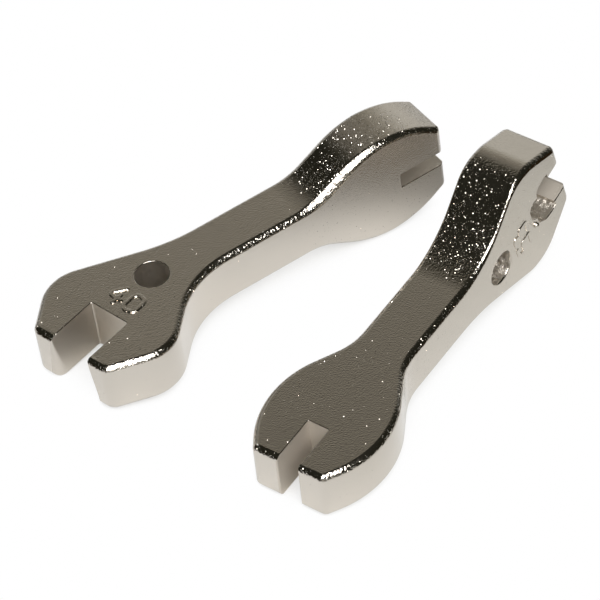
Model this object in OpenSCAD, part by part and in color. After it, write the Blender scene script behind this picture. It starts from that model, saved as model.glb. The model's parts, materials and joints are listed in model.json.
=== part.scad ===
// A pair of double-ended spoke wrenches, lying as they were put down.
// Each wrench is one casting: a square bar with an angled jaw head at one end and a round head,
// turned a quarter turn, at the other. The fine wrench lies on its jaw head and the coarse wrench
// on its round head, so each leans on the belly of its upright head.
// A wrench's own frame has its origin in the hanging hole, X along the bar towards the round head,
// Y across the jaw head and Z along the hole.

/* [Bar] */
// Width of the bar, across the jaw head
bar_width = 13.1; // [11:0.1:15]
// Depth of the bar, which is also the thickness of the jaw head
bar_depth = 13.6; // [11:0.1:16]
// Radius of the rolled edges round each head's flat faces
edge_radius = 1.4; // [0.6:0.1:1.5]

/* [Jaw head] */
// Angle at which the jaw leans away from the bar
jaw_angle = 15; // [10:1:18]
// Distance from the hanging hole to the jaw tips
jaw_reach = 27.7; // [26:0.1:30]
// Width across the jaw tips
jaw_tip_width = 21.8; // [19:0.1:24]
// Radius of the outer corners of the jaw tips
tip_radius = 2.8; // [1.6:0.1:3]
// Distance from the hanging hole to the corners of the shoulders
shoulder_reach = 14.2; // [12:0.1:16]
// Width across the corners of the shoulders, before they are rounded
shoulder_width = 39.2; // [36:0.1:42]
// Radius of the shoulders
shoulder_radius = 10.4; // [7:0.1:12]
// Distance from the hanging hole to the corner of the neck that the jaw leans away from
straight_neck_reach = 8.9; // [4:0.1:14]
// Radius of the neck that the jaw leans away from
straight_neck_radius = 45; // [20:1:60]
// Distance from the hanging hole to the corner of the neck that the jaw leans over
hollow_neck_reach = 6.5; // [4:0.1:12]
// Radius of the neck that the jaw leans over
hollow_neck_radius = 22.4; // [14:0.1:26]
// Diameter of the hanging hole
hole_diameter = 8.1; // [6:0.1:9]

/* [Round head] */
// Distance from the hanging hole to the end of the round head
round_end_reach = 75.7; // [70:0.1:85]
// Width across the flat end
round_end_width = 17.9; // [15:0.1:21]
// Radius of the corners of the flat end
end_corner_radius = 1.6; // [1.6:0.1:3]
// Distance from the flat end to the crown's corner, before it is rounded
crown_setback = 14.9; // [13:0.1:17]
// Width across the crown's corners, before they are rounded
crown_width = 36.6; // [33:0.1:39]
// Radius of the crown
crown_radius = 24.1; // [18:0.1:26]
// Distance from the flat end to the corner of the round head's neck
round_neck_setback = 36; // [33:0.1:40]
// Radius of the round head's neck
round_neck_radius = 16.2; // [8:0.1:24]

/* [Slots] */
// Gap left between a slot and the flats that it turns
flat_clearance = 0.1; // [0.05:0.05:0.3]
// Nipple flats that the fine wrench's round head turns
fine_nipple_flats = 3.9; // [3:0.1:5]
// Nipple flats that the coarse wrench's round head turns
coarse_nipple_flats = 5.2; // [4:0.1:6.5]
// Depth of the slot in a round head
nipple_slot_depth = 12.3; // [8:0.1:16]
// Nut flats that the fine wrench's jaw turns
fine_jaw_flats = 10.8; // [8:0.1:12]
// Depth of the straight slot in the fine wrench's jaw
fine_jaw_depth = 13.5; // [9:0.1:16]
// Nut flats that the coarse wrench's jaw turns
coarse_jaw_flats = 10.4; // [8:0.1:12]
// Length of the two lands at the mouth of the coarse wrench's jaw
land_length = 5.2; // [3:0.1:6]
// Diameter of the round relief behind the lands
relief_diameter = 13.8; // [12.6:0.1:15]
// Distance from the hanging hole to the centre of the relief
relief_reach = 20.7; // [19.5:0.1:22]

/* [Arrangement] */
// Place of the fine wrench's hanging hole, across
fine_x = -25.61; // [-60:0.01:0]
// Place of the fine wrench's hanging hole, front to back
fine_y = -22.75; // [-60:0.01:20]
// Heading of the fine wrench's bar
fine_heading = 68.3; // [40:0.1:90]
// Place of the coarse wrench's hanging hole, across
coarse_x = 30.54; // [0:0.01:60]
// Place of the coarse wrench's hanging hole, front to back
coarse_y = 23.16; // [0:0.01:60]
// Heading of the coarse wrench's bar
coarse_heading = -90; // [-110:0.1:-70]

/* [Hidden] */
// Colour of the nickel-plated castings
plating = "#9a948a";
// Facets of the drilled hole and the relief
$fn = 64;
// Steps in the rolled edge, the tips and end corners, the shoulders, the necks and the crown
edge_steps = 5;
tip_steps = 5;
shoulder_steps = 11;
neck_steps = 8;
crown_steps = 14;
// Length by which a cut runs past the metal
overrun = 2;

// Direction of a vector
function unit(v) = v / norm(v);

// Half of the angle at corner p between its neighbours a and b
function corner_half(a, p, b) = acos(unit(a - p) * unit(b - p)) / 2;

// Centre of the arc that rounds corner p between its neighbours a and b
function corner_centre(a, p, b, radius) =
    p + unit(unit(a - p) + unit(b - p)) * radius / sin(corner_half(a, p, b));

// That arc as stops from a to b, each a place and the normal on the left of the path
function corner_arc(a, p, b, radius, steps) =
    let (
        half = corner_half(a, p, b),
        turn = sign(cross(p - a, b - p)),
        centre = corner_centre(a, p, b, radius),
        first = p + unit(a - p) * radius / tan(half) - centre,
        start = atan2(first.y, first.x),
        sweep = turn * (180 - 2 * half)
    )
    [for (i = [0 : steps])
        let (angle = start + sweep * i / steps, out = [cos(angle), sin(angle)])
        [centre + radius * out, -turn * out]];

// Point of the jaw head, out along the jaw and across it. The side that the jaw leans over is -1,
// and its points are mirrored so that both sides have Y outwards
function jaw_point(side, out, across) =
    [-out * cos(jaw_angle) - side * across * sin(jaw_angle),
     across * cos(jaw_angle) - side * out * sin(jaw_angle)];

// Corners of one side of the jaw head: middle of the tips, tip, shoulder, neck and bar
function jaw_corners(side, neck_reach) =
    [jaw_point(side, jaw_reach, 0),
     jaw_point(side, jaw_reach, jaw_tip_width / 2),
     jaw_point(side, shoulder_reach, shoulder_width / 2),
     [neck_reach, bar_width / 2],
     [round_end_reach, bar_width / 2]];

// Outline of one side of the jaw head, as stops from the tips to the bar
function jaw_side(c, neck_radius) =
    [each corner_arc(c[0], c[1], c[2], tip_radius, tip_steps),
     each corner_arc(c[1], c[2], c[3], shoulder_radius, shoulder_steps),
     each corner_arc(c[2], c[3], c[4], neck_radius, neck_steps)];

straight_corners = jaw_corners(1, straight_neck_reach);
hollow_corners = jaw_corners(-1, hollow_neck_reach);
straight_side = jaw_side(straight_corners, straight_neck_radius);
hollow_side = jaw_side(hollow_corners, hollow_neck_radius);

// Outline of the round head above the bar, as stops from the bar to the flat end
round_bar = [0, bar_depth / 2];
round_neck = [round_end_reach - round_neck_setback, bar_depth / 2];
round_crown = [round_end_reach - crown_setback, crown_width / 2];
round_end = [round_end_reach, round_end_width / 2];
round_middle = [round_end_reach, 0];
round_side =
    [each corner_arc(round_bar, round_neck, round_crown, round_neck_radius, neck_steps),
     each corner_arc(round_neck, round_crown, round_end, crown_radius, crown_steps),
     each corner_arc(round_crown, round_end, round_middle, end_corner_radius, tip_steps)];

// Walk round one section of the bar: side, top or bottom, and angle of the rolled edge
quarter = 90;
corner_walk =
    [for (c = [[1, 1], [-1, 1], [-1, -1], [1, -1]], i = [0 : edge_steps])
        [c[0], c[1], quarter * (c[0] * c[1] > 0 ? i : edge_steps - i) / edge_steps]];
walk_count = len(corner_walk);

// Section of the jaw head through a stop of each side: the edge rolls in from the outline
function jaw_section(straight, hollow) =
    [for (w = corner_walk)
        let (
            stop = w[0] > 0 ? straight : hollow,
            p = stop[0] - edge_radius * (1 - cos(w[2])) * stop[1]
        )
        [p.x, w[0] * p.y, w[1] * (bar_depth / 2 - edge_radius * (1 - sin(w[2])))]];

// Section of the round head through a stop: the edge rolls in from the flat faces
function round_section(stop) =
    [for (w = corner_walk)
        let (p = stop[0] - edge_radius * (1 - sin(w[2])) * stop[1])
        [p.x, w[0] * (bar_width / 2 - edge_radius * (1 - cos(w[2]))), w[1] * p.y]];

sections =
    [for (i = [0 : len(straight_side) - 1]) jaw_section(straight_side[i], hollow_side[i]),
     for (stop = round_side) round_section(stop)];
last_start = (len(sections) - 1) * walk_count;

// Number of a point on a section, counted round it
function around(i) = (i + walk_count) % walk_count;

// Two triangles for a four-sided patch
function patch(a, b, c, d) = [[a, b, c], [a, c, d]];

// The skin joins each section to the next
skin_faces =
    [for (s = [0 : len(sections) - 2], i = [0 : walk_count - 1])
        each patch(s * walk_count + i, (s + 1) * walk_count + i,
                   (s + 1) * walk_count + around(i + 1), s * walk_count + around(i + 1))];
// The tips close from side to side, and the flat end closes from top to bottom
tip_faces =
    [for (i = [0 : 2 * edge_steps])
        each patch(around(edge_steps - i), around(edge_steps + 1 + i),
                   around(edge_steps + 2 + i), around(edge_steps - i - 1))];
end_faces =
    [for (i = [0 : 2 * edge_steps])
        each patch(last_start + i, last_start + around(-1 - i),
                   last_start + around(-2 - i), last_start + i + 1)];

// Slope of the line that two circles rest on, the first circle being nearer the jaw
function resting_slope(a, a_radius, b, b_radius) =
    atan2(b.y - a.y, b.x - a.x) + asin((a_radius - b_radius) / norm(b - a));

// Height of the hanging hole above that line
function resting_height(a, a_radius, slope) = a * [sin(slope), -cos(slope)] + a_radius;

// Rolled edge of the jaw's tip and belly of the round head, which the fine wrench rests on
tip_centre = corner_centre(straight_corners[0], straight_corners[1], straight_corners[2], tip_radius);
tip_edge = [tip_centre.x - tip_radius + edge_radius, edge_radius - bar_depth / 2];
crown_centre = corner_centre(round_neck, round_crown, round_end, crown_radius);
round_belly = [crown_centre.x, -crown_centre.y];
fine_slope = resting_slope(tip_edge, edge_radius, round_belly, crown_radius);
fine_height = resting_height(tip_edge, edge_radius, fine_slope);

// Shoulder of the jaw head and rolled edge of the round end, which the coarse wrench rests on
shoulder_centre =
    corner_centre(straight_corners[1], straight_corners[2], straight_corners[3], shoulder_radius);
jaw_belly = [shoulder_centre.x, -shoulder_centre.y];
end_edge = [round_end_reach - edge_radius, edge_radius - bar_width / 2];
coarse_slope = resting_slope(jaw_belly, shoulder_radius, end_edge, edge_radius);
coarse_height = resting_height(jaw_belly, shoulder_radius, coarse_slope);

// Casting before its slots and hole are cut
module blank() {
    polyhedron(
        points = [for (section = sections) each section],
        faces = [each skin_faces, each tip_faces, each end_faces]
    );
}

// Prism through the whole depth of a head, from an outline drawn across it
module through_cut(depth) {
    translate([0, 0, -depth / 2 - overrun])
        linear_extrude(depth + 2 * overrun)
            children();
}

// Outline of a straight slot, from its floor out past the jaw tips
module straight_slot(width, floor_reach) {
    translate([-jaw_reach - overrun, -width / 2])
        square([jaw_reach + overrun - floor_reach, width]);
}

// Outline of the fine wrench's jaw opening: a straight slot
module fine_opening() {
    straight_slot(fine_jaw_flats + flat_clearance, jaw_reach - fine_jaw_depth);
}

// Outline of the coarse wrench's jaw opening: two lands with a round relief behind them
module coarse_opening() {
    straight_slot(coarse_jaw_flats + flat_clearance, relief_reach);
    intersection() {
        translate([-relief_reach, 0])
            circle(d = relief_diameter);
        translate([land_length - jaw_reach, -relief_diameter / 2])
            square(relief_diameter);
    }
}

// One wrench in its own frame: its jaw opening is passed in as an outline
module wrench(nipple_flats) {
    slot_width = nipple_flats + flat_clearance;
    difference() {
        blank();
        through_cut(bar_depth)
            circle(d = hole_diameter);
        through_cut(bar_depth)
            rotate(jaw_angle)
                children();
        rotate([quarter, 0, 0])
            through_cut(bar_width)
                translate([round_end_reach - nipple_slot_depth, -slot_width / 2])
                    square([nipple_slot_depth + overrun, slot_width]);
    }
}

// Wrench for the smaller nipples, lying on its jaw head
module fine_wrench() {
    color(plating)
        translate([fine_x, fine_y, fine_height])
            rotate([0, fine_slope, fine_heading])
                wrench(fine_nipple_flats)
                    fine_opening();
}

// Wrench for the larger nipples, lying on its round head with its jaw leaning up
module coarse_wrench() {
    color(plating)
        translate([coarse_x, coarse_y, coarse_height])
            rotate([0, coarse_slope, coarse_heading])
                rotate([-quarter, 0, 0])
                    wrench(coarse_nipple_flats)
                        coarse_opening();
}

fine_wrench();
coarse_wrench();
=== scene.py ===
# %% [markdown]
# # A pair of spoke wrenches in nickel-plated cast steel
# Two pocket wrenches lie side by side on a white sheet. Each one is a single casting: a square bar with
# an angled open jaw at one end and a round head, turned a quarter turn, at the other. The CAD frame gives
# their places, and this lesson gives them their finer shape, their plating and their light.

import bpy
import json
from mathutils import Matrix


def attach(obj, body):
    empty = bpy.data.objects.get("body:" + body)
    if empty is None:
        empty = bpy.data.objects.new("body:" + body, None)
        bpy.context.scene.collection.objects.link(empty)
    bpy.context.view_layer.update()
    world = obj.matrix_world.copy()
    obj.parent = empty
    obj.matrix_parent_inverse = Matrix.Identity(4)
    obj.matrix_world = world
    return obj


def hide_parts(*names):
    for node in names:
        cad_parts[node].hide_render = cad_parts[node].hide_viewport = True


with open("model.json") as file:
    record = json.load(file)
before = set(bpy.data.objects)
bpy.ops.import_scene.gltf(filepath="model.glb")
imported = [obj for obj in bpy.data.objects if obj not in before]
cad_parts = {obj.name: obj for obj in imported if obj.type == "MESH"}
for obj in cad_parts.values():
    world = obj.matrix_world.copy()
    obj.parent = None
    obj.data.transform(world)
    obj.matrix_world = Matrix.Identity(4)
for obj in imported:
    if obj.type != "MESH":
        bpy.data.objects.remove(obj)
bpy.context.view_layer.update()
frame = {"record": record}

# %% [markdown]
# ## Where each wrench lies
# A loose wrench lies as it falls, so both are tilted a little. Each could be drawn where it lies, but then
# every formula would carry that tilt. The record names the holes and slots of both wrenches: the line of
# the nipple slot is the wrench's own X axis and the line of the hanging hole is its Z axis. So all shapes
# are worked out in the wrench's own frame, in millimetres, and these two mounts carry them to their place.

# %% Poses from the mounts
import bpy
import numpy as np
from mathutils import Matrix

MM = 0.001
mounts = {mount["name"]: mount for mount in frame["record"]["mounts"]}


def wrench_pose(name):
    """Matrix from a wrench's own millimetres to the frame's metres, with Y as the cross product Z by X."""
    hole = mounts[f"{name}_hanging_hole"]
    along = np.array(mounts[f"{name}_nipple_slot"]["axis"])
    upright = np.array(hole["axis"])
    pose = np.eye(4)
    pose[:3, :3] = MM * np.stack([along, np.cross(upright, along), upright], 1)
    pose[:3, 3] = hole["pos_m"]
    return pose


poses = {name: wrench_pose(name) for name in ("fine", "coarse")}
for name, pose in poses.items():
    print(name, "hole at", np.round(pose[:3, 3] / MM, 2), "mm, bar along", np.round(pose[:3, 0] / MM, 3))

# %% [markdown]
# ## Outlines with rounded corners
# A pattern maker draws such a casting with straight lines and then rounds every corner with a radius. In
# Blender this could be a curve with bevelled corners. Here each corner becomes an arc worked out from its
# radius, and the lines between the arcs come by themselves. The arcs also carry their normals, which the
# broken edges need later.

# %% Rounded corners
def unit(vectors):
    """Vectors divided by their lengths, along the last axis."""
    return vectors / np.linalg.norm(vectors, axis=-1, keepdims=True)


def corner_arc(before, corner, after, radius, steps):
    """Arc that rounds a corner between two others: places, and normals on the left of the path.

    Its centre lies on the bisector of the corner, at the radius divided by the sine of half the corner's
    angle. It turns through a half turn less the corner's angle.
    """
    back, ahead = unit(before - corner), unit(after - corner)
    half = np.arccos(back @ ahead) / 2
    turn = np.sign(back[1] * ahead[0] - back[0] * ahead[1])
    centre = corner + unit(back + ahead) * radius / np.sin(half)
    first = corner + back * radius / np.tan(half) - centre
    angle = np.arctan2(first[1], first[0]) + turn * (np.pi - 2 * half) * np.linspace(0, 1, steps + 1)
    out = np.stack([np.cos(angle), np.sin(angle)], -1)
    return centre + radius * out, -turn * out


def rounded_path(corners, radii, steps):
    """Path through corners given as rows, with every inner corner rounded by its radius."""
    arcs = [corner_arc(*corners[i:i + 3], radii[i], steps[i]) for i in range(len(radii))]
    return np.vstack([arc[0] for arc in arcs]), np.vstack([arc[1] for arc in arcs])


square_corner = rounded_path(np.array([[0, 1], [0, 0], [1, 0]]), [0.5], [2])[0]
print("a square corner rounded by 0.5 mm:", np.round(square_corner, 2).tolist())

# %% [markdown]
# ## The jaw head
# The jaw head is a flat open-ended jaw, turned by 15 degrees so that it takes a new grip when it is
# flipped. One side of its neck runs nearly straight into the bar and the other is hollow. The two sides
# could be drawn apart, but they differ only in the sign of the angle and in the neck, so one function
# gives both.

# %% Sides of the jaw head
BAR_WIDTH, BAR_DEPTH, ROUND_END_REACH = 13.1, 13.6, 75.7
JAW_ANGLE, JAW_REACH, JAW_TIP_WIDTH = np.radians(15), 27.7, 21.8
SHOULDER_REACH, SHOULDER_WIDTH = 14.2, 39.2
TIP_RADIUS, SHOULDER_RADIUS = 2.8, 10.4
TIP_STEPS, SHOULDER_STEPS, NECK_STEPS = 10, 28, 24


def jaw_side(side, neck_reach, neck_radius):
    """One side of the jaw head from tip to bar, mirrored so that Y is outwards on both sides.

    A point out along the jaw and across it is turned by the jaw's angle, which the side's sign reverses.
    """
    out = np.array([JAW_REACH, JAW_REACH, SHOULDER_REACH])
    across = np.array([0, JAW_TIP_WIDTH, SHOULDER_WIDTH]) / 2
    cosine, sine = np.cos(JAW_ANGLE), side * np.sin(JAW_ANGLE)
    head = np.stack([-out * cosine - across * sine, across * cosine - out * sine], -1)
    bar = [[neck_reach, BAR_WIDTH / 2], [ROUND_END_REACH, BAR_WIDTH / 2]]
    return rounded_path(np.vstack([head, bar]), [TIP_RADIUS, SHOULDER_RADIUS, neck_radius],
                        [TIP_STEPS, SHOULDER_STEPS, NECK_STEPS])


straight_side = jaw_side(1, neck_reach=8.9, neck_radius=45.0)
hollow_side = jaw_side(-1, neck_reach=6.5, neck_radius=22.4)
print("jaw head is", round(straight_side[0][:, 1].max() + hollow_side[0][:, 1].max(), 1), "mm across")

# %% [markdown]
# ## The round head
# The round head is a thick disc with a flat end, which takes the nipple slot later. It stands a quarter
# turn to the jaw, so that the slot reaches in between the spokes. A cylinder could be joined to the bar,
# but its neck would need a blend. The same rounded path gives head and neck in one line, drawn upright,
# and its two sides are alike, so one is enough.

# %% Side of the round head
ROUND_END_WIDTH, END_CORNER_RADIUS = 17.9, 1.6
CROWN_SETBACK, CROWN_WIDTH, CROWN_RADIUS, CROWN_STEPS = 14.9, 36.6, 24.1, 36
ROUND_NECK_SETBACK, ROUND_NECK_RADIUS = 36.0, 16.2

round_corners = np.array([[0, BAR_DEPTH / 2],
                          [ROUND_END_REACH - ROUND_NECK_SETBACK, BAR_DEPTH / 2],
                          [ROUND_END_REACH - CROWN_SETBACK, CROWN_WIDTH / 2],
                          [ROUND_END_REACH, ROUND_END_WIDTH / 2],
                          [ROUND_END_REACH, 0]])
round_side = rounded_path(round_corners, [ROUND_NECK_RADIUS, CROWN_RADIUS, END_CORNER_RADIUS],
                          [NECK_STEPS, CROWN_STEPS, TIP_STEPS])
print("round head is", round(2 * round_side[0][:, 1].max(), 1), "mm across")

# %% [markdown]
# ## The broken edge
# A file breaks the sharp edges of the casting, and tumbling then softens them. A Bevel modifier could do
# this, but it would also round the corners where the two heads cross. So the edge is part of the bar's
# section. A power of 1 would make it a plain chamfer and a power of 2 a round, and the real edge lies
# between them.

# %% Section of the bar
EDGE_RADIUS, EDGE_STEPS, EDGE_POWER = 1.4, 10, 1.55


def broken_edge(turn):
    """How far the edge stands out and up where its normal has turned by an angle, as shares of its radius.

    The normal of a superellipse grows with its coordinates to the power less one. So the coordinates are
    the cosine and the sine to the inverse of that power, divided by their own superellipse radius.
    """
    shares = np.stack([np.cos(turn), np.sin(turn)]) ** (1 / (EDGE_POWER - 1))
    return shares / (shares ** EDGE_POWER).sum(0) ** (1 / EDGE_POWER)


quarter = np.linspace(0, np.pi / 2, EDGE_STEPS + 1)
section_turns = np.concatenate([quarter, quarter[::-1], quarter, quarter[::-1]])
side_sign = np.repeat([1, -1, -1, 1], EDGE_STEPS + 1)
top_sign = np.repeat([1, 1, -1, -1], EDGE_STEPS + 1)
side_cut, top_cut = EDGE_RADIUS * (1 - broken_edge(section_turns))
corner_loss = np.hypot(side_cut, top_cut)[EDGE_STEPS // 2]
print("a section has", len(section_turns), "points, and each corner loses", round(corner_loss, 2), "mm")

# %% [markdown]
# ## The blank
# The blank is what comes out of the mould, before any opening is cut. Its skin is the bar's section carried
# along both outlines. Over the jaw head the edge turns in from the outline, and over the round head it
# turns in from the flat faces. The heads cross at a right angle and meet in the plain bar, where both rules
# give the same section, so no joint shows. In the necks the file leaves the edge uneven: sharper on the
# coarse jaw, and wider on the fine round head.

# %% Sections carried along the outlines
JAW_NECK_EDGE, ROUND_NECK_EDGE = {"fine": 1.0, "coarse": 0.42}, {"fine": 1.5, "coarse": 1.0}
JAW_NECK_LEAN, ROUND_NECK_LEAN = 0.73, 0.48


def jaw_sections(neck_edge):
    """Jaw head: the outline moved in by the edge's side cut, at half the depth less its top cut.

    On the neck, where the outline's normal leans towards the bar, the edge changes to its share there.
    """
    places, normals = (np.where(side_sign[:, None] > 0, straight[:, None], hollow[:, None])
                       for straight, hollow in zip(straight_side, hollow_side))
    size = 1 - (1 - neck_edge) * np.clip(normals[..., 0] / JAW_NECK_LEAN, 0, 1)
    flat = places - (size * side_cut)[..., None] * normals
    height = top_sign * (BAR_DEPTH / 2 - size * top_cut)
    return np.stack([flat[..., 0], side_sign * flat[..., 1], height], -1)


def round_sections(neck_edge):
    """Round head: the same edge, with the outline upright and the flat faces at the sides."""
    places, normals = round_side
    size = 1 - (1 - neck_edge) * np.clip(-normals[:, :1] / ROUND_NECK_LEAN, 0, 1)
    upright = places[:, None] - (size * top_cut)[..., None] * normals[:, None]
    aside = side_sign * (BAR_WIDTH / 2 - size * side_cut)
    return np.stack([upright[..., 0], aside, top_sign * upright[..., 1]], -1)


blank_grids = {name: np.concatenate([jaw_sections(JAW_NECK_EDGE[name]),
                                     round_sections(ROUND_NECK_EDGE[name])]) for name in poses}
print("blank is", round(np.ptp(blank_grids["fine"][..., 0]), 1), "mm long")

# %% Faces of the blank
def grid_faces(rows, columns):
    """Four corner numbers for every cell of a grid that closes round its columns."""
    row, column = np.meshgrid(np.arange(rows - 1), np.arange(columns), indexing="ij")
    near, far = row * columns, (row + 1) * columns
    after = (column + 1) % columns
    return np.stack([near + column, near + after, far + after, far + column], -1).reshape(-1, 4)


# Each cap is a strip of faces between points that lie opposite each other in the first or last section.
rows, columns = blank_grids["fine"].shape[:2]
cap_step = np.arange(2 * EDGE_STEPS + 1)
tip_cap = np.stack([EDGE_STEPS - cap_step - 1, EDGE_STEPS + 2 + cap_step,
                    EDGE_STEPS + 1 + cap_step, EDGE_STEPS - cap_step], -1) % columns
end_cap = np.stack([cap_step + 1, -2 - cap_step, -1 - cap_step, cap_step], -1) % columns
blank_faces = np.vstack([grid_faces(rows, columns), tip_cap, (rows - 1) * columns + end_cap])
print("blank:", rows, "sections of", columns, "points,", len(blank_faces), "faces")

# %% [markdown]
# ## Tools that cut the openings
# A cutter takes out the jaw openings, the nipple slots and the fine wrench's hole. A sand core leaves the
# coarse wrench's hole and the relief behind its jaw. Plain blocks and cylinders would leave knife edges,
# which no plated part has. So each tool is a prism whose outline swells a little at the two faces and leaves
# a rounded lip there. The walls of the holes and the relief are not quite even, so they ripple.

# %% Rippled wall
RIPPLE_WAVES, RIPPLE_LENGTH = 40, 1.4


def ripple(points, seed):
    """Rough relief of unit size: the sum of sine waves of one length in random directions."""
    rng = np.random.default_rng(seed)
    directions = unit(rng.normal(size=(RIPPLE_WAVES, 3))) * 2 * np.pi / RIPPLE_LENGTH
    phases = rng.uniform(0, 2 * np.pi, RIPPLE_WAVES)
    return np.sin(points @ directions.T + phases).sum(-1) / np.sqrt(RIPPLE_WAVES / 2)


print("ripple:", RIPPLE_WAVES, "waves of", RIPPLE_LENGTH, "mm")

# %% Rounded lips
LIP_RADIUS, LIP_TURN, LIP_STEPS = 0.2, np.radians(75), 5
LIP_RUN, OVERRUN, WALL_STEPS = 0.03, 1.5, 34


def lips(depth, lip_radius):
    """Heights through a head and how far the tool's wall stands back there.

    Near a face the wall turns outwards on an arc: it stands back by the lip's radius times one less the
    cosine. It leaves the face at a slope and then runs straight on past it.
    """
    turn = np.linspace(0, LIP_TURN, LIP_STEPS + 1)
    height = depth / 2 - lip_radius * (1 - np.sin(turn))
    back = lip_radius * (1 - np.cos(turn))
    leave = depth / 2 + LIP_RUN
    last_back = back[-1] + (leave - height[-1]) * np.tan(LIP_TURN)
    height = np.append(height, [leave, depth / 2 + OVERRUN])
    back = np.append(back, [last_back, last_back])
    wall = np.linspace(-height[0], height[0], WALL_STEPS + 1)[1:-1]
    return np.concatenate([-height[::-1], wall, height]), np.concatenate([back[::-1], 0 * wall, back])


wall_heights, wall_backs = lips(BAR_DEPTH, LIP_RADIUS)
print("a tool has", len(wall_heights), "levels and swells by", round(wall_backs.max(), 2), "mm")

# %% Prism
RIPPLE_START, RIPPLE_RISE = 0.3, 0.8


def smoothstep(low, high, value):
    """Rise from 0 to 1 between two values: three times the share's square less twice its cube."""
    share = np.clip((value - low) / (high - low), 0, 1)
    return share * share * (3 - 2 * share)


def prism(outline, depth, low_outline=None, lip_radius=LIP_RADIUS, ripple_height=0.0, seed=0):
    """Tool as a grid of points: its outline moved out along its normals, at each height.

    On the way down it may change into a second outline with the same normals. The ripple moves the wall
    by its height times the rough relief, and fades out below the lips.
    """
    places, normals = outline
    height, back = lips(depth, lip_radius)
    low_share = smoothstep(depth / 2, -depth / 2, height)[:, None, None]
    low_places = places if low_outline is None else low_outline[0]
    flat = places + low_share * (low_places - places) + back[:, None, None] * normals
    points = np.concatenate([flat, np.broadcast_to(height[:, None, None], (*flat.shape[:2], 1))], -1)
    inside = np.clip((depth / 2 - RIPPLE_START - np.abs(height)) / RIPPLE_RISE, 0, 1)
    moved = ripple_height * inside[:, None] * ripple(points, seed)
    points[..., :2] += moved[..., None] * normals
    return points


print("ripples start", RIPPLE_START, "mm below a face and are full after", RIPPLE_RISE, "mm more")

# %% [markdown]
# ## Slots
# A slot is milled or broached in from the end of a head, so it is straight, with a flat floor and small
# corner radii. A box would give that, but at the mouth the real walls turn away in a small round, where
# the file and the plating have been. So half a slot is a line of three corners, which the rounded path
# turns into walls.

# %% Outline of a slot
MOUTH_TURN, MOUTH_STEPS, MOUTH_RUN = np.radians(70), 6, 0.24


def mouth_corners(reach, depth, width, radius):
    """Corners of half a slot: beyond the mouth, at the mouth and at the floor.

    The mouth's corner lies so far in that its arc ends at the reach.
    """
    mouth = reach - radius * np.tan(MOUTH_TURN / 2) * np.cos(MOUTH_TURN)
    past = reach + MOUTH_RUN
    return np.array([[past, width / 2 + (past - mouth) * np.tan(MOUTH_TURN)],
                     [mouth, width / 2], [reach - depth, width / 2]])


def slot_outline(reach, depth, width, mouth_radii, corner_radius):
    """Straight slot from its mouth at the reach in to its floor, along X."""
    first, last = (mouth_corners(reach, depth, width, radius) for radius in mouth_radii)
    corners = np.vstack([first * [1, -1], last[::-1]])
    radii = [mouth_radii[0], corner_radius, corner_radius, mouth_radii[1]]
    places, normals = rounded_path(corners, radii, [MOUTH_STEPS] * len(radii))
    return np.vstack([corners[:1], places, corners[-1:]]), np.vstack([normals[:1], normals, normals[-1:]])


NIPPLE_SLOT_WIDTH, NIPPLE_SLOT_DEPTH = {"fine": 4.0, "coarse": 5.3}, 12.3
NIPPLE_MOUTHS, NIPPLE_CORNER = (0.5, 0.5), 0.1

nipple_outlines = {name: slot_outline(ROUND_END_REACH, NIPPLE_SLOT_DEPTH, width, NIPPLE_MOUTHS, NIPPLE_CORNER)
                   for name, width in NIPPLE_SLOT_WIDTH.items()}
print("nipple slots:", {name: len(outline[0]) for name, outline in nipple_outlines.items()}, "points")

# %% [markdown]
# ## The relief behind the coarse jaw's lands
# The coarse jaw grips with two short lands. Behind them lies a round pocket, which the core left lumpy near
# the upper face and plain below. A sculpted cylinder could give that. Here a few bell curves of the angle
# move the upper outline, so each lump has a place and a size that can be read off.

# %% Outline of the relief
LAND_LENGTH, RELIEF_RADIUS, RELIEF_REACH, RELIEF_STEPS = 5.2, 6.9, 20.7, 110
# At each angle in degrees: how far the wall moves out in millimetres, and over how many degrees.
RELIEF_LUMPS = {128: (-1.5, 9), 155: (0.5, 12), 203: (-1.35, 16), 233: (-0.4, 10)}


def circle(radius, start, end, steps):
    """Arc about the origin with its normals outwards."""
    angle = np.linspace(start, end, steps)
    out = np.stack([np.cos(angle), np.sin(angle)], -1)
    return radius * out, out


def relief_outline(lumps):
    """Round pocket behind the lands, cut off by a chord where they end.

    Each lump moves the wall by its size times a bell curve of the angle about the pocket's middle.
    """
    open_angle = np.arccos((JAW_REACH - LAND_LENGTH - RELIEF_REACH) / RELIEF_RADIUS)
    places, normals = circle(RELIEF_RADIUS, -open_angle, open_angle - 2 * np.pi, RELIEF_STEPS)
    angle = np.degrees(np.arctan2(normals[:, 1], normals[:, 0])) % 360
    moved = np.zeros(RELIEF_STEPS)
    for middle, (size, spread) in lumps.items():
        moved += size * np.exp(-((angle - middle) / spread) ** 2)
    return places + moved[:, None] * normals + [RELIEF_REACH, 0], normals


lumpy_relief, plain_relief = relief_outline(RELIEF_LUMPS), relief_outline({})
lump_moves = np.linalg.norm(lumpy_relief[0] - plain_relief[0], axis=1)
print("the relief's lumps move its wall by up to", round(lump_moves.max(), 2), "mm")

# %% [markdown]
# ## Jaw, nipple and hole tools in their places
# The prisms are drawn lying flat about the origin. The jaw's tools are turned round to its end and by its
# angle, the nipple's stand on edge, and the hole's stay where they are, because the hole is the origin. The
# fine jaw's mouth is rounded more towards its underside, so its tool changes from one outline to another
# on the way down.

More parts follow.
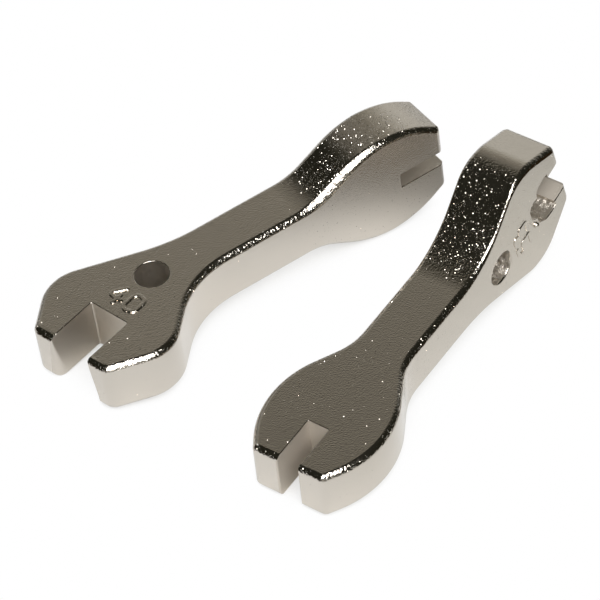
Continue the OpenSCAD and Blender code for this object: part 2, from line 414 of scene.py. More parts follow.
# %% Tools in place
JAW_SLOT_WIDTH, JAW_SLOT_DEPTH = {"fine": 10.9, "coarse": 10.5}, 13.5
FINE_MOUTH, FINE_LOW_MOUTH, FINE_CORNER = 0.5, 3.0, 0.45
LAND_MOUTHS, LAND_CORNER = (0.9, 2.2), 0.3
RELIEF_RIPPLE, RELIEF_SEED = 0.06, 5
HOLE_DIAMETER, HOLE_STEPS = 8.1, 96
HOLE_LIP, HOLE_RIPPLE = {"fine": 0.18, "coarse": 0.5}, {"fine": 0.03, "coarse": 0.07}
HOLE_SEED = {"fine": 2, "coarse": 3}


def on_jaw(points):
    """Points out along the jaw, across it and up, turned about Z by a half turn and the jaw's angle."""
    cosine, sine = np.cos(JAW_ANGLE), np.sin(JAW_ANGLE)
    return points * [-1, -1, 1] @ np.array([[cosine, sine, 0], [-sine, cosine, 0], [0, 0, 1]])


def on_edge(points):
    """Points turned by a quarter about X, so that a prism runs along Y."""
    return points @ np.array([[1, 0, 0], [0, 0, 1], [0, -1, 0]])


fine_mouth, fine_low_mouth = (
    slot_outline(JAW_REACH, JAW_SLOT_DEPTH, JAW_SLOT_WIDTH["fine"], (radius, radius), FINE_CORNER)
    for radius in (FINE_MOUTH, FINE_LOW_MOUTH))
land_slot = slot_outline(JAW_REACH, JAW_REACH - RELIEF_REACH, JAW_SLOT_WIDTH["coarse"], LAND_MOUTHS,
                         LAND_CORNER)
jaw_tools = {"fine": on_jaw(prism(fine_mouth, BAR_DEPTH, fine_low_mouth)),
             "coarse": on_jaw(prism(land_slot, BAR_DEPTH))}
relief_tool = on_jaw(prism(lumpy_relief, BAR_DEPTH, plain_relief, ripple_height=RELIEF_RIPPLE,
                           seed=RELIEF_SEED))
nipple_tools = {name: on_edge(prism(outline, BAR_WIDTH)) for name, outline in nipple_outlines.items()}
hole_outline = [array[::-1] for array in
                circle(HOLE_DIAMETER / 2, 0, 2 * np.pi * (1 - 1 / HOLE_STEPS), HOLE_STEPS)]
hole_tools = {name: prism(hole_outline, BAR_DEPTH, lip_radius=HOLE_LIP[name], ripple_height=HOLE_RIPPLE[name],
                          seed=HOLE_SEED[name]) for name in poses}
for name, tool in jaw_tools.items():
    print(name, "jaw tool:", tool.shape[0], "levels of", tool.shape[1], "points")

# %% [markdown]
# ## Cast figures
# The pattern carries a raised figure between the hole and the jaw, with the half-round strokes of a
# hand-cut letter. It gives the width of the wrench's nipple slot in tenths of a millimetre. Blender's text
# could write it, but its strokes have sharp edges. So each stroke is a bent line with a half-round carried
# along it, and its ends close on a quarter round.

# %% Figures
STROKE_WIDTH, STROKE_SINK, STROKE_POWER, SECTION_STEPS, BEND_STEPS = 1.0, 0.3, 0.45, 24, 5
STROKE_HEIGHTS = {"fine": 0.3, "coarse": 0.18}
END_TURNS = np.radians([80, 55, 30])
# Each stroke has the radius of its bends, and its corners to the right and up, in millimetres.
FIGURES = {"fine": [(0.7, [[2.9, 5.2], [0.0, 1.6], [4.2, 1.6]]), (0.7, [[3.0, 2.9], [3.0, 0.0]]),
                    (1.5, [[7.3, 5.2], [5.6, 5.2], [5.6, 0.0], [7.3, 0.0]]),
                    (1.5, [[7.3, 5.0], [9.0, 5.0], [9.0, 0.2], [7.3, 0.2]])],
           "coarse": [(0.6, [[3.2, 5.2], [0.5, 5.2], [0.2, 3.0], [3.3, 3.2], [3.2, 0.0], [0.0, 0.2]]),
                      (0.6, [[4.9, 5.2], [8.0, 5.2], [6.0, 3.1], [8.2, 2.9], [8.0, 0.0], [4.8, 0.2]])]}
FIGURE_PLACES = {"fine": (11.6, -4.5), "coarse": (11.6, -5.4)}

section_turn = -2 * np.pi * np.arange(SECTION_STEPS) / SECTION_STEPS


def stroke(corners, bend, stroke_height):
    """Half-round along a bent line, on the face of the head.

    Across and up it follows a superellipse: the cosine and the sine to a power, with their signs kept.
    Past its ends it goes on by the sine of the closing turns and shrinks by their cosine.
    """
    bends = [corner_arc(*corners[i:i + 3], bend, BEND_STEPS)[0] for i in range(len(corners) - 2)]
    line = np.vstack([corners[:1], *bends, corners[-1:]])
    along = unit(np.gradient(line, axis=0))
    past = STROKE_WIDTH / 2 * np.sin(END_TURNS)[:, None]
    size = np.concatenate([np.cos(END_TURNS), np.ones(len(line)), np.cos(END_TURNS)[::-1]])[:, None]
    line = np.vstack([line[0] - past * along[0], line, line[-1] + past[::-1] * along[-1]])
    along = np.vstack([along[[0] * len(past)], along, along[[-1] * len(past)]])
    across, rise = (np.sign(wave) * np.abs(wave) ** STROKE_POWER
                    for wave in (np.cos(section_turn), np.sin(section_turn)))
    across = size * STROKE_WIDTH / 2 * across
    rise = size * np.where(rise > 0, stroke_height, STROKE_SINK) * rise
    flat = line[:, None] + across[..., None] * np.stack([-along[:, 1], along[:, 0]], -1)[:, None]
    return np.concatenate([flat, BAR_DEPTH / 2 + rise[..., None]], -1)


def figure(name):
    """Strokes of a wrench's figure. It stands on the jaw and its head points at the hanging hole."""
    foot, first = FIGURE_PLACES[name]
    return [on_jaw(stroke(np.array([[foot - high, first + right] for right, high in corners]), bend,
                          STROKE_HEIGHTS[name])) for bend, corners in FIGURES[name]]


raised = {name: figure(name) for name in poses}
print("strokes:", {name: len(strokes) for name, strokes in raised.items()})

# %% [markdown]
# ## A casting bead
# A bubble in the mould left a small bead on the coarse wrench, beside the pocket. It could be a sphere from
# Blender's own shapes. A grid of rings is as short, and it goes through the same steps as the figures.

# %% Bead
BEAD_RADIUS, BEAD_PLACE, BEAD_POLE, BEAD_RINGS = 0.75, (14.5, -3.4), 84, 13


def bead():
    """Ball from near pole to near pole, half sunk in the face of the head."""
    rise = np.radians(np.linspace(-BEAD_POLE, BEAD_POLE, BEAD_RINGS))[:, None]
    ball = [np.cos(rise) * np.cos(section_turn), np.cos(rise) * np.sin(section_turn),
            np.sin(rise) + 0 * section_turn]
    return on_jaw(BEAD_RADIUS * np.stack(ball, -1) + [*BEAD_PLACE, BAR_DEPTH / 2])


raised["coarse"].append(bead())
print("bead:", 2 * BEAD_RADIUS, "mm across. Raised on the coarse wrench:", len(raised["coarse"]), "pieces")

# %% [markdown]
# ## Nodes and colours
# Materials are graphs of nodes. They can be clicked together by hand, but a script can be read and run
# again. One small function adds a node, sets its options and fills or links its inputs. Colours are written
# as the hex codes of a colour picker, and another function turns them into the linear light that Blender
# reckons with.

# %% One function for all nodes
def linear(code):
    """Linear colour of an sRGB hex code, with each channel c as ((c + 0.055) / 1.055) to the power 2.4."""
    srgb = np.array([int(code[i:i + 2], 16) for i in (1, 3, 5)]) / 255
    return (*np.where(srgb > 0.04045, ((srgb + 0.055) / 1.055) ** 2.4, srgb / 12.92), 1.0)


def add(tree, kind, inputs, **settings):
    """Adds one node to a tree. Inputs are values or sockets to link, and settings are its own options."""
    made = tree.nodes.new(kind)
    for option, value in settings.items():
        setattr(made, option, value)
    for key, value in inputs.items():
        if isinstance(value, bpy.types.NodeSocket):
            tree.links.new(value, made.inputs[key])
        else:
            made.inputs[key].default_value = value
    return made


NICKEL = linear("#CFC8BE")
print("nickel in linear light:", np.round(NICKEL[:3], 3))

# %% [markdown]
# ## Plating over cast steel
# The castings are tumbled and then plated with bright nickel. Nickel is a warm grey mirror, but the skin of
# the casting still shows through it: a slow orange peel, fine grit where the faces were ground, and pebble
# on the broken edges. These could be modelled, but that takes millions of faces. Bump nodes bend the normal
# instead, and the bump's strength is read from marks that the mesh carries.

# %% Relief under the plating
# Real grit and pebble are about a tenth of a millimetre. They are drawn three to five times coarser to show.
PEEL_SIZE, GRIT_SIZE, PEBBLE_SIZE, PEEL_HEIGHT = 1.1, 0.3, 0.5, 0.012


def cast_relief(tree, place, grit_height, pebble_height):
    """Normal of the skin: orange peel all over, grit on ground faces and pebble on broken edges."""
    ground, broken = (add(tree, "ShaderNodeAttribute", {}, attribute_name=mark).outputs["Fac"]
                      for mark in ("ground", "broken"))
    peel, grit, pebble = (
        add(tree, "ShaderNodeTexNoise", {"Vector": place, "Scale": 1 / size, "Detail": 1.0}).outputs["Fac"]
        for size in (PEEL_SIZE, GRIT_SIZE, PEBBLE_SIZE))
    bump = add(tree, "ShaderNodeBump", {"Height": peel, "Distance": PEEL_HEIGHT * MM})
    for noise, height, strength in ((grit, grit_height, ground), (pebble, pebble_height, broken)):
        bump = add(tree, "ShaderNodeBump", {"Height": noise, "Distance": height * MM, "Strength": strength,
                                            "Normal": bump.outputs["Normal"]})
    return bump.outputs["Normal"]


print("peel, grit and pebble in mm:", PEEL_SIZE, GRIT_SIZE, PEBBLE_SIZE)

# %% [markdown]
# ## Grains that flash
# Here and there a grain of the casting stands proud, and its plated top flashes when it faces the lamp. A
# glitter of white dots could be painted on, but it would not change as the wrench turns. So a grain tilts
# the normal at random and shows another part of the room than its neighbours. The flash then comes by itself.

# %% Proud grains
# Real grains are about a tenth of a millimetre. They are drawn twice as wide, so that they show.
GRAIN_SPACING, GRAIN_RADIUS, GRAIN_TILT = 0.25, 0.10, 1.7
CLUSTER_SIZE, CLUSTER_NOISE, CLUSTER_SHARE = 5.0, (0.35, 0.65), (0.4, 1.6)
MIDDLE_COLOUR = (0.5, 0.5, 0.5)


def grain_tilt(tree, place, least_grains):
    """Vector to add to the normal: random and long on a proud grain, and zero elsewhere.

    A grain is a ball about a point of a Voronoi pattern. It is proud if its random number is less than the
    share of grains there: the least share plus the mark's, times a slow noise that gathers them in clusters.
    """
    marked = add(tree, "ShaderNodeAttribute", {}, attribute_name="grains").outputs["Fac"]
    grain = add(tree, "ShaderNodeTexVoronoi", {"Vector": place, "Scale": 1 / GRAIN_SPACING})
    cluster = add(tree, "ShaderNodeTexNoise", {"Vector": place, "Scale": 1 / CLUSTER_SIZE, "Detail": 1.0})
    crowd = add(tree, "ShaderNodeMapRange", {"Value": cluster.outputs["Fac"],
                                             "From Min": CLUSTER_NOISE[0], "From Max": CLUSTER_NOISE[1],
                                             "To Min": CLUSTER_SHARE[0], "To Max": CLUSTER_SHARE[1]})
    share = add(tree, "ShaderNodeMath", {0: marked, 1: least_grains}, operation="ADD")
    limit = add(tree, "ShaderNodeMath", {0: share.outputs[0], 1: crowd.outputs[0]}, operation="MULTIPLY")
    chance = add(tree, "ShaderNodeTexWhiteNoise", {"Vector": grain.outputs["Position"]})
    proud = add(tree, "ShaderNodeMath", {0: chance.outputs["Value"], 1: limit.outputs[0]},
                operation="LESS_THAN")
    near = add(tree, "ShaderNodeMath", {0: grain.outputs["Distance"], 1: GRAIN_RADIUS / GRAIN_SPACING},
               operation="LESS_THAN")
    flashing = add(tree, "ShaderNodeMath", {0: proud.outputs[0], 1: near.outputs[0]}, operation="MULTIPLY")
    length = add(tree, "ShaderNodeMath", {0: flashing.outputs[0], 1: GRAIN_TILT}, operation="MULTIPLY")
    lean = add(tree, "ShaderNodeVectorMath", {0: grain.outputs["Color"], 1: MIDDLE_COLOUR},
               operation="SUBTRACT")
    return add(tree, "ShaderNodeVectorMath", {0: lean.outputs[0], "Scale": length.outputs[0]},
               operation="SCALE").outputs[0]


print("grains:", 2 * GRAIN_RADIUS, "mm wide,", GRAIN_SPACING, "mm apart")

# %% [markdown]
# ## Four finishes
# All walls carry the same nickel, and how a wall was made decides what it does to the light. One material
# with painted roughness would do, but a named material for each way of working can be used again by itself.
# The pattern is fixed to the wrench by an attribute that holds each point's place in the wrench's own
# millimetres, so that its sizes are real ones.

# %% Plated finishes
def plated(name, roughness, grit_height, pebble_height, least_grains):
    """Nickel plate over cast steel, with heights in millimetres: its normal is the relief's plus the tilt."""
    material = bpy.data.materials.new(name)
    material.use_nodes = True
    tree = material.node_tree
    place = add(tree, "ShaderNodeAttribute", {}, attribute_name="wrench_mm").outputs["Vector"]
    leaning = add(tree, "ShaderNodeVectorMath", {0: cast_relief(tree, place, grit_height, pebble_height),
                                                 1: grain_tilt(tree, place, least_grains)}, operation="ADD")
    normal = add(tree, "ShaderNodeVectorMath", {0: leaning.outputs[0]}, operation="NORMALIZE")
    surface = tree.nodes["Principled BSDF"]
    surface.inputs["Base Color"].default_value = NICKEL
    surface.inputs["Metallic"].default_value = 1.0
    surface.inputs["Roughness"].default_value = roughness
    tree.links.new(normal.outputs[0], surface.inputs["Normal"])
    return material


# Tumbled casting: a soft mirror with a faint pebble, in which the room's bands and a few grains show.
skin = plated("nickel_plate_on_tumbled_casting", roughness=0.13, grit_height=0.07, pebble_height=0.13,
              least_grains=0.004)
# Milled wall: satin, with broad soft shading.
milled = plated("nickel_plate_on_milled_slot", roughness=0.42, grit_height=0.02, pebble_height=0.16,
                least_grains=0.01)
# Broached wall: torn by the tool, nearly matt and evenly pale.
broached = plated("nickel_plate_on_broached_slot", roughness=0.70, grit_height=0.03, pebble_height=0.16,
                  least_grains=0.01)
# Cored wall: the sand's grain, blurred and full of glints.
cored = plated("nickel_plate_on_sand_core", roughness=0.42, grit_height=0.12, pebble_height=0.16,
               least_grains=0.4)
print("finishes:", [material.name for material in (skin, milled, broached, cored)])

# %% [markdown]
# ## Marks on the skin
# The wheel and the file do not reach every place alike. Flat faces are ground, edges are broken, and the
# hollow walls of the necks keep their grains. This could be painted by hand as vertex colours. Here the marks
# follow from where a point lies: how far below a flat face, how far out of the bar, and how far along it.

# %% Where grains, broken edges and ground faces lie
BAR_MIDDLE, WALL_RISE, EDGE_FADE, FACE_FADE = 36.0, 1.2, 0.3, 0.1
EDGE_GRAINS, FLAT_GRAINS = 0.25, 0.045
JAW_NECK_GRAINS, ROUND_NECK_GRAINS = {"fine": 0.0, "coarse": 0.85}, {"fine": 0.7, "coarse": 0.0}
# Grains start, crowd or end between two places along the bar, in millimetres from the hole.
JAW_NECK_START, JAW_NECK_CROWDS, JAW_NECK_LEAST = (-14, -10), (-6, 1), 0.08
ROUND_NECK_START, ROUND_NECK_END = (30, 44), (72, 60)


def skin_marks(places, jaw_neck_grains, round_neck_grains):
    """Shares of proud grains, of broken edge and of ground face at places on the skin.

    A wall is what stands out from the bar and keeps clear of the head's two flat faces. No grinding wheel
    reaches the walls of the necks, so they keep most grains. An edge is what lies just below a flat face.
    """
    x = places[:, 0]
    y, z = np.abs(places[:, 1:].T)
    on_jaw_half = x < BAR_MIDDLE
    below_face = np.where(on_jaw_half, BAR_DEPTH / 2 - z, BAR_WIDTH / 2 - y)
    out_of_bar = np.where(on_jaw_half, y - BAR_WIDTH / 2, z - BAR_DEPTH / 2)
    wall = smoothstep(0, WALL_RISE, out_of_bar) * smoothstep(0, EDGE_RADIUS, below_face)
    neck = wall * np.where(on_jaw_half, smoothstep(*JAW_NECK_START, x),
                           smoothstep(*ROUND_NECK_START, x) * smoothstep(*ROUND_NECK_END, x))
    crowd = JAW_NECK_LEAST + (1 - JAW_NECK_LEAST) * smoothstep(*JAW_NECK_CROWDS, x)
    most = np.where(on_jaw_half, jaw_neck_grains * crowd, round_neck_grains)
    broken = (smoothstep(0, EDGE_FADE, below_face)
              * smoothstep(EDGE_RADIUS, EDGE_RADIUS - EDGE_FADE, below_face))
    flat = FLAT_GRAINS * smoothstep(FACE_FADE, 0, below_face)
    return {"grains": np.maximum(most * neck, EDGE_GRAINS * broken) + flat, "broken": broken,
            "ground": (1 - broken) * (1 - neck)}


for name in poses:
    marks = skin_marks(blank_grids[name].reshape(-1, 3), JAW_NECK_GRAINS[name], ROUND_NECK_GRAINS[name])
    print(name, "mean marks:", {mark: round(float(values.mean()), 3) for mark, values in marks.items()})

# %% [markdown]
# ## Cutting the blanks
# Cutting is what the real maker does too: Boolean modifiers take the tools out of the blank and join the
# figures to it, while everything is still in the wrench's own millimetres. The openings could be built into
# the skin's grid instead, but then every grid line would have to bend round them. Each tool passes its finish
# on to the wall that it leaves, and its lips take the finish of the skin.

# %% Mesh objects and tools
def mesh_object(name, points, faces, material):
    """Mesh object from a grid or list of points, in one material and linked to the scene."""
    mesh = bpy.data.meshes.new(name)
    mesh.from_pydata(points.reshape(-1, 3).tolist(), [], faces)
    mesh.materials.append(material)
    made = bpy.data.objects.new(name, mesh)
    bpy.context.scene.collection.objects.link(made)
    return made


def tool_object(name, points, material):
    """Closed tool from a prism's grid: its walls, and one face over each end."""
    levels, count = points.shape[:2]
    ends = [np.arange(count).tolist(), (np.arange(count)[::-1] + (levels - 1) * count).tolist()]
    made = mesh_object(name, points, grid_faces(levels, count)[:, ::-1].tolist() + ends, material)
    made.data.materials.append(skin)
    level = np.arange(levels - 1)
    lip = np.minimum(level, levels - 2 - level) < LIP_STEPS + 2
    in_skin = np.append(np.repeat(lip, count), [True, True])
    made.data.polygons.foreach_set("material_index", in_skin.astype(np.int32))
    return made


SLOT_FINISH, HOLE_FINISH = {"fine": milled, "coarse": broached}, {"fine": milled, "coarse": cored}


def wrench_tools(name):
    """All tools of a wrench: what is raised on it first, and then what is cut out."""
    tools = [tool_object("raised", points, skin) for points in raised[name]]
    tools += [tool_object("hole_tool", hole_tools[name], HOLE_FINISH[name]),
              tool_object("jaw_tool", jaw_tools[name], SLOT_FINISH[name]),
              tool_object("nipple_tool", nipple_tools[name], SLOT_FINISH[name])]
    if name == "coarse":
        tools.append(tool_object("relief_tool", relief_tool, cored))
    return tools


print("slots:", {name: finish.name for name, finish in SLOT_FINISH.items()})

# %% Cut
def evaluated_mesh(made):
    """Mesh of an object with its modifiers worked out."""
    return bpy.data.meshes.new_from_object(made.evaluated_get(bpy.context.evaluated_depsgraph_get()))


def cut_casting(name):
    """A wrench's blank with its figures joined and its openings cut, still in its own millimetres."""
    made = mesh_object(f"{name}_wrench_casting", blank_grids[name], blank_faces.tolist(), skin)
    tools = wrench_tools(name)
    for tool in tools:
        cut = made.modifiers.new(tool.name, "BOOLEAN")
        cut.operation = "UNION" if tool.name.startswith("raised") else "DIFFERENCE"
        cut.solver, cut.material_mode = "EXACT", "TRANSFER"
        cut.object = tool
    made.data = evaluated_mesh(made)
    made.modifiers.clear()
    for tool in tools:
        bpy.data.objects.remove(tool)
    return made


castings = {name: cut_casting(name) for name in poses}
for made in castings.values():
    print(made.name, "cut:", len(made.data.vertices), "points")

# %% [markdown]
# ## Placing the castings
# The mesh keeps a copy of its own millimetres for the patterns, and then goes to its place in the frame. The
# Boolean leaves long thin faces, whose smooth shading would smear over the flats. Flat shading would show
# every facet of the rounds. So edges are smooth up to an angle, and the normals are weighted by area,
# which keeps the flats flat right up to their broken edges.

# %% Mark, place and smooth
SHARP_ANGLE, AREA_WEIGHT = np.radians(32), 100


def settle(made, name):
    """Writes the marks of a casting, carries it to its place and weights its normals."""
    shape = made.data
    places = np.empty(3 * len(shape.vertices), np.float32)
    shape.vertices.foreach_get("co", places)
    shape.attributes.new("wrench_mm", "FLOAT_VECTOR", "POINT").data.foreach_set("vector", places)
    marks = skin_marks(places.reshape(-1, 3), JAW_NECK_GRAINS[name], ROUND_NECK_GRAINS[name])
    for mark, values in marks.items():
        shape.attributes.new(mark, "FLOAT", "POINT").data.foreach_set("value", values.astype(np.float32))
    shape.transform(Matrix(poses[name]))
    shape.shade_smooth()
    shape.set_sharp_from_angle(angle=SHARP_ANGLE)
    flats = made.modifiers.new("flats", "WEIGHTED_NORMAL")
    flats.weight, flats.keep_sharp = AREA_WEIGHT, True
    made.data = evaluated_mesh(made)
    made.modifiers.clear()


for name, piece in castings.items():
    settle(piece, name)
    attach(piece, name)
    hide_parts(f"{name}_wrench")
    print(piece.name, len(piece.data.polygons), "faces,", [m.name for m in piece.data.materials])

# %% [markdown]
# ## The sheet of paper
# Bright metal shows what lies round it, so the sheet is part of the look. A plain white floor to the horizon
# would make the wrenches white all over. So the metal sees a strip of white paper, which runs from the front
# under the pair and away behind it. To the right the paper is painted a little greyer, a painted shade where
# the lamp's light falls off. Beside the strip it sees a dark brown table.

# %% Paper: where the strip lies
VIEW_AZIMUTH = np.radians(35.76)
STRIP_EDGE, STRIP_END = 0.080, 0.120
# Between the fade's places, turned from the view, the paper's paint greys: painted shade of the light's
# fall-off to the right.
FADE_TURN, FADE_START, FADE_END = np.radians(19), 0.022, 0.065

paper_material = bpy.data.materials.new("white_paper_sheet")
paper_material.use_nodes = True
paper_tree = paper_material.node_tree
paper_tree.nodes.remove(paper_tree.nodes["Principled BSDF"])
floor_place = add(paper_tree, "ShaderNodeTexCoord", {}).outputs["Object"]


def rightward(turn):
    """How far to the right a place on the floor lies, for a viewer turned from the camera's heading."""
    turned = add(paper_tree, "ShaderNodeMapping", {"Vector": floor_place,
                                                   "Rotation": (0, 0, turn - VIEW_AZIMUTH)})
    return add(paper_tree, "ShaderNodeSeparateXYZ", {"Vector": turned.outputs[0]}).outputs["X"]


aside = add(paper_tree, "ShaderNodeMath", {0: rightward(0)}, operation="ABSOLUTE").outputs[0]
beyond, falloff_shade = (
    add(paper_tree, "ShaderNodeMapRange", {"Value": place, "From Min": start, "From Max": end},
        interpolation_type="SMOOTHSTEP").outputs["Result"]
    for place, start, end in ((aside, STRIP_EDGE, STRIP_END), (rightward(FADE_TURN), FADE_START, FADE_END)))
print("white strip is", 2 * STRIP_EDGE / MM, "mm wide")

# %% [markdown]
# ## The paper's paint
# Paper is matt, so its shader is plain diffuse. Close to the wrenches it is covered from the light, and
# the Ambient Occlusion node measures how much of the sky is left there. Where little is left, the paint
# darkens towards a grey: a painted shadow along where the metal touches the paper. The lamp casts the rest.

# %% Paper: paint
WHITE_PAPER, FALLOFF_SHADE_PAPER, TABLE, CONTACT_SHADE_PAPER = (
    linear(code) for code in ("#EEF0F2", "#C8C8C4", "#2E2110", "#B4B0A6"))
COVER_REACH, COVER_SAMPLES, COVERED_SKY, OPEN_SKY = 0.015, 8, 0.1, 0.55

sky = add(paper_tree, "ShaderNodeAmbientOcclusion", {"Distance": COVER_REACH}, samples=COVER_SAMPLES)
lit = add(paper_tree, "ShaderNodeMapRange", {"Value": sky.outputs["AO"], "From Min": COVERED_SKY,
                                             "From Max": OPEN_SKY}).outputs["Result"]
# In a Mix node of colours, inputs 6 and 7 are the two colours and output 2 is their mix.
# The paper greys to the right: painted shade where the lamp's light falls off.
sheet_paint = add(paper_tree, "ShaderNodeMix", {"Factor": falloff_shade, 6: WHITE_PAPER, 7: FALLOFF_SHADE_PAPER},
                  data_type="RGBA")
floor_paint = add(paper_tree, "ShaderNodeMix", {"Factor": beyond, 6: sheet_paint.outputs[2], 7: TABLE},
                  data_type="RGBA")
# Where the sky is covered the paint goes to a grey: painted contact shadow.
paint = add(paper_tree, "ShaderNodeMix", {"Factor": lit, 6: CONTACT_SHADE_PAPER, 7: floor_paint.outputs[2]},
            data_type="RGBA")
paper = add(paper_tree, "ShaderNodeBsdfDiffuse", {"Color": paint.outputs[2]})
print("paper in linear light:", np.round(WHITE_PAPER[:3], 2))

# %% [markdown]
# ## A white ground for the camera
# A photographer burns out the ground until it is white, by light that the object does not get. The Light
# Path node does the same without more light: rays from the camera see a glow of strength 1, which drops to
# half where the Ambient Occlusion finds the sky covered, a painted shadow. Rays from the metal see a share of
# that glow on the strip, a painted light that also fades where the sky is covered, and the rest is the lit
# paper with its shadows.

# %% Paper: what the camera and the metal see
WHITE, WHITE_STRENGTH = linear("#FFFFFF"), 1.0
COVERED_WHITE, MIRROR_GLOW = 0.5, 0.22
SHEET_SIZE = 3.0

ray = add(paper_tree, "ShaderNodeLightPath", {}).outputs
# Painted shadow for the camera: its white share falls where the sky is covered.
camera_white = add(paper_tree, "ShaderNodeMapRange", {"Value": lit, "To Min": COVERED_WHITE, "To Max": 1.0})
# Painted light for the metal: the strip glows, and less where the sky is covered.
strip_glow = add(paper_tree, "ShaderNodeMapRange", {"Value": beyond, "To Min": MIRROR_GLOW, "To Max": 0.0})
metal_glow = add(paper_tree, "ShaderNodeMath", {0: strip_glow.outputs["Result"], 1: lit},
                 operation="MULTIPLY")
bent_ray = add(paper_tree, "ShaderNodeMath", {0: ray["Is Glossy Ray"], 1: ray["Is Transmission Ray"]},
               operation="MAXIMUM")
to_camera, to_metal = (
    add(paper_tree, "ShaderNodeMath", {0: kind, 1: share.outputs[0]}, operation="MULTIPLY").outputs[0]
    for kind, share in ((ray["Is Camera Ray"], camera_white), (bent_ray.outputs[0], metal_glow)))
glow_share = add(paper_tree, "ShaderNodeMath", {0: to_camera, 1: to_metal}, operation="ADD")
glow = add(paper_tree, "ShaderNodeEmission", {"Color": WHITE, "Strength": WHITE_STRENGTH})
both = add(paper_tree, "ShaderNodeMixShader", {0: glow_share.outputs[0], 1: paper.outputs[0],
                                               2: glow.outputs[0]})
paper_tree.links.new(both.outputs[0], paper_tree.nodes["Material Output"].inputs["Surface"])

sheet_corners = SHEET_SIZE / 2 * np.array([[-1, -1, 0], [1, -1, 0], [1, 1, 0], [-1, 1, 0]])
sheet = mesh_object("sheet", sheet_corners, [[0, 1, 2, 3]], paper_material)
print("sheet:", SHEET_SIZE, "m square,", len(paper_tree.nodes), "nodes")

# %% [markdown]
# ## The room round the pair
# What a mirror shows above the floor is the room. An image of a studio could be wrapped round the scene, but
# a few bands say more clearly what the metal needs. Behind the pair the paper runs up as a pale wall, which
# dims upwards and is dark overhead, and its lower left lies in shade. To the left and right the room is
# dark. Behind the camera it is a plain dim grey.

# %% Room: headings and elevations
world = bpy.data.worlds.new("surroundings")
bpy.context.scene.world = world
world.use_nodes = True
room_tree = world.node_tree
direction = add(room_tree, "ShaderNodeMapping",
                {"Vector": add(room_tree, "ShaderNodeTexCoord", {}).outputs["Generated"],
                 "Rotation": (0, 0, -VIEW_AZIMUTH)})
axes = add(room_tree, "ShaderNodeSeparateXYZ", {"Vector": direction.outputs[0]}).outputs
heading = add(room_tree, "ShaderNodeMath", {0: axes["X"], 1: axes["Y"]}, operation="ARCTAN2").outputs[0]
swing = add(room_tree, "ShaderNodeMath", {0: heading}, operation="ABSOLUTE").outputs[0]
elevation = add(room_tree, "ShaderNodeMath", {0: axes["Z"]}, operation="ARCSINE").outputs[0]
height_share = add(room_tree, "ShaderNodeMapRange", {"Value": elevation, "From Min": -np.pi / 2,
                                                     "From Max": np.pi / 2}).outputs["Result"]
print("room turned by", round(np.degrees(VIEW_AZIMUTH), 2), "degrees,", len(room_tree.nodes), "nodes so far")

# %% Room: bands of light
# The levels are light, not paint, so they are linear numbers, by degrees above the horizon.
ROOM_LIGHT = {"wall": {-90: (0.64, 0.635, 0.60), 22: (0.64, 0.635, 0.60), 36: (0.40, 0.385, 0.34),
                       44: (0.254, 0.238, 0.202), 54: (0.208, 0.198, 0.175), 59: (0.145, 0.138, 0.116),
                       63: (0.07, 0.067, 0.053), 66: (0.035, 0.034, 0.024), 90: (0.02, 0.02, 0.014)},
              "front": {-90: (0.35, 0.34, 0.31), 30: (0.35, 0.34, 0.31), 60: (0.30, 0.29, 0.27),
                        75: (0.03, 0.03, 0.022)}}

bands = {}
for name, stops in ROOM_LIGHT.items():
    ramp = add(room_tree, "ShaderNodeValToRGB", {"Fac": height_share})
    for degrees in list(stops)[1:-1]:
        ramp.color_ramp.elements.new((degrees + 90) / 180)
    for element, (degrees, light) in zip(ramp.color_ramp.elements, stops.items()):
        element.position = (degrees + 90) / 180
        element.color = (*light, 1.0)
    bands[name] = ramp.outputs["Color"]
print("bands of light:", {name: len(stops) for name, stops in ROOM_LIGHT.items()})

# %% Room: where it is dark
# Each change runs between two angles in degrees, up to a share. Heading 0 is straight on from the camera.
ROOM_CHANGES = {"left": (heading, 2, -12, 1.0), "low": (elevation, 31, 17, 0.6),
                "beside": (swing, 25, 65, 1.0), "in_front": (swing, 140, 160, 1.0)}
DARK_ROOM, CAMERA_WHITE = (0.02, 0.02, 0.014, 1.0), (1.0, 1.0, 1.0, 1.0)

change = {name: add(room_tree, "ShaderNodeMapRange",
                    {"Value": angle, "From Min": np.radians(start), "From Max": np.radians(end),
                     "To Max": most}, interpolation_type="SMOOTHSTEP").outputs["Result"]
          for name, (angle, start, end, most) in ROOM_CHANGES.items()}
low_left = add(room_tree, "ShaderNodeMath", {0: change["left"], 1: change["low"]}, operation="MULTIPLY")
unlit = add(room_tree, "ShaderNodeMath", {0: low_left.outputs[0], 1: change["beside"]}, operation="MAXIMUM")
behind = add(room_tree, "ShaderNodeMix", {"Factor": unlit.outputs[0], 6: bands["wall"], 7: DARK_ROOM},
             data_type="RGBA")
room = add(room_tree, "ShaderNodeMix", {"Factor": change["in_front"], 6: behind.outputs[2],
                                        7: bands["front"]}, data_type="RGBA")
camera_ray = add(room_tree, "ShaderNodeLightPath", {}).outputs["Is Camera Ray"]
seen_room = add(room_tree, "ShaderNodeMix", {"Factor": camera_ray, 6: room.outputs[2], 7: CAMERA_WHITE},
                data_type="RGBA")
room_tree.links.new(seen_room.outputs[2], room_tree.nodes["Background"].inputs["Color"])
print("room:", len(room_tree.nodes), "nodes")

# %% [markdown]
# ## The lamp
# One wide softbox hangs in front, over the camera. A small lamp would give hard white points on every edge,
# and a wide one draws the broken edges as bright bands. Its power is set so that the white paper below
# it renders about as bright as its paint is written.

# %% Lamp
LAMP_HEADING, LAMP_ELEVATION = np.radians(171) - VIEW_AZIMUTH, np.radians(47)
LAMP_DISTANCE, LAMP_WIDTH, LAMP_POWER = 2.0, 1.4, 53.0


def set_up(made, right, upward, back, place):
    """Links a lamp or camera to the scene, at a place and with its own three axes along directions."""
    matrix = np.eye(4)
    matrix[:3] = np.stack([right, upward, back, place], 1)
    made.matrix_world = Matrix(matrix)
    bpy.context.scene.collection.objects.link(made)


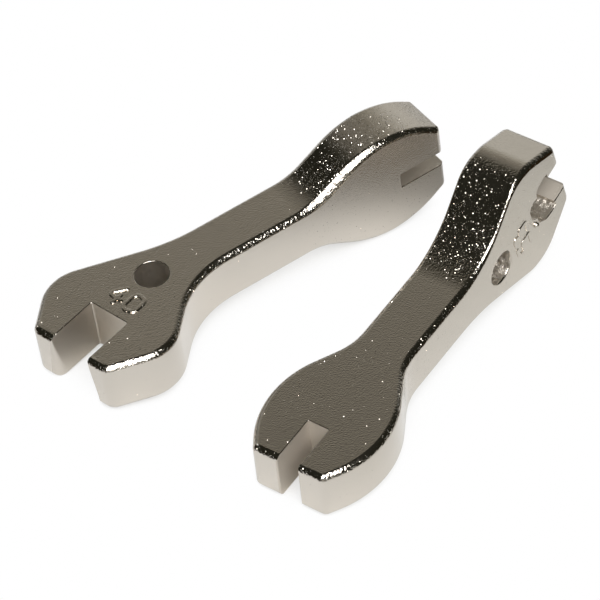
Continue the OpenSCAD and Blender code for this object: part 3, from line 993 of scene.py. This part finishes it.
softbox = bpy.data.lights.new("front_softbox", "AREA")
softbox.shape, softbox.energy = "ELLIPSE", LAMP_POWER
softbox.size, softbox.size_y = LAMP_WIDTH, LAMP_WIDTH
lamp_back = unit(np.array([np.cos(LAMP_ELEVATION) * np.sin(LAMP_HEADING),
                           np.cos(LAMP_ELEVATION) * np.cos(LAMP_HEADING), np.sin(LAMP_ELEVATION)]))
lamp_right = unit(np.cross([0, 0, 1], lamp_back))
set_up(bpy.data.objects.new("front_softbox", softbox), lamp_right, np.cross(lamp_back, lamp_right), lamp_back,
       LAMP_DISTANCE * lamp_back)
print("lamp at", np.round(LAMP_DISTANCE * lamp_back, 2), "m")

# %% [markdown]
# ## The camera
# The camera looks at the pair from the front and the right, down at about 44 degrees and through a long
# lens. It could be placed by eye, but its angles and its distance were fitted together with the outlines
# of the wrenches, so they are set as numbers. The view transform is Standard, which shows colours as they
# are written.

# %% Camera
VIEW_ELEVATION, VIEW_ROLL = np.radians([43.946, -2.464])
CAMERA_DISTANCE, CAMERA_LENS, SENSOR, CLIP_START = 792.6 * MM, 208.43, 36.0, 0.05
AIM = np.array([-2.852, 0.964, 0]) * MM

level = np.array([np.cos(VIEW_AZIMUTH), np.sin(VIEW_AZIMUTH), 0])
view_back = np.array([np.sin(VIEW_AZIMUTH) * np.cos(VIEW_ELEVATION),
                      -np.cos(VIEW_AZIMUTH) * np.cos(VIEW_ELEVATION), np.sin(VIEW_ELEVATION)])
upward = np.cross(view_back, level)
camera = bpy.data.objects.new("camera", bpy.data.cameras.new("camera"))
camera.data.lens, camera.data.sensor_width, camera.data.clip_start = CAMERA_LENS, SENSOR, CLIP_START
set_up(camera, np.cos(VIEW_ROLL) * level + np.sin(VIEW_ROLL) * upward,
       np.cos(VIEW_ROLL) * upward - np.sin(VIEW_ROLL) * level, view_back, AIM + CAMERA_DISTANCE * view_back)
bpy.context.scene.camera = camera
bpy.context.scene.view_settings.view_transform = "Standard"
print("camera at", np.round(np.array(camera.location), 3), "m")

# %% [markdown]
# ## Size and finish
# The dressed pair has to fit where the CAD part fits.

# %% Size and finish
import json
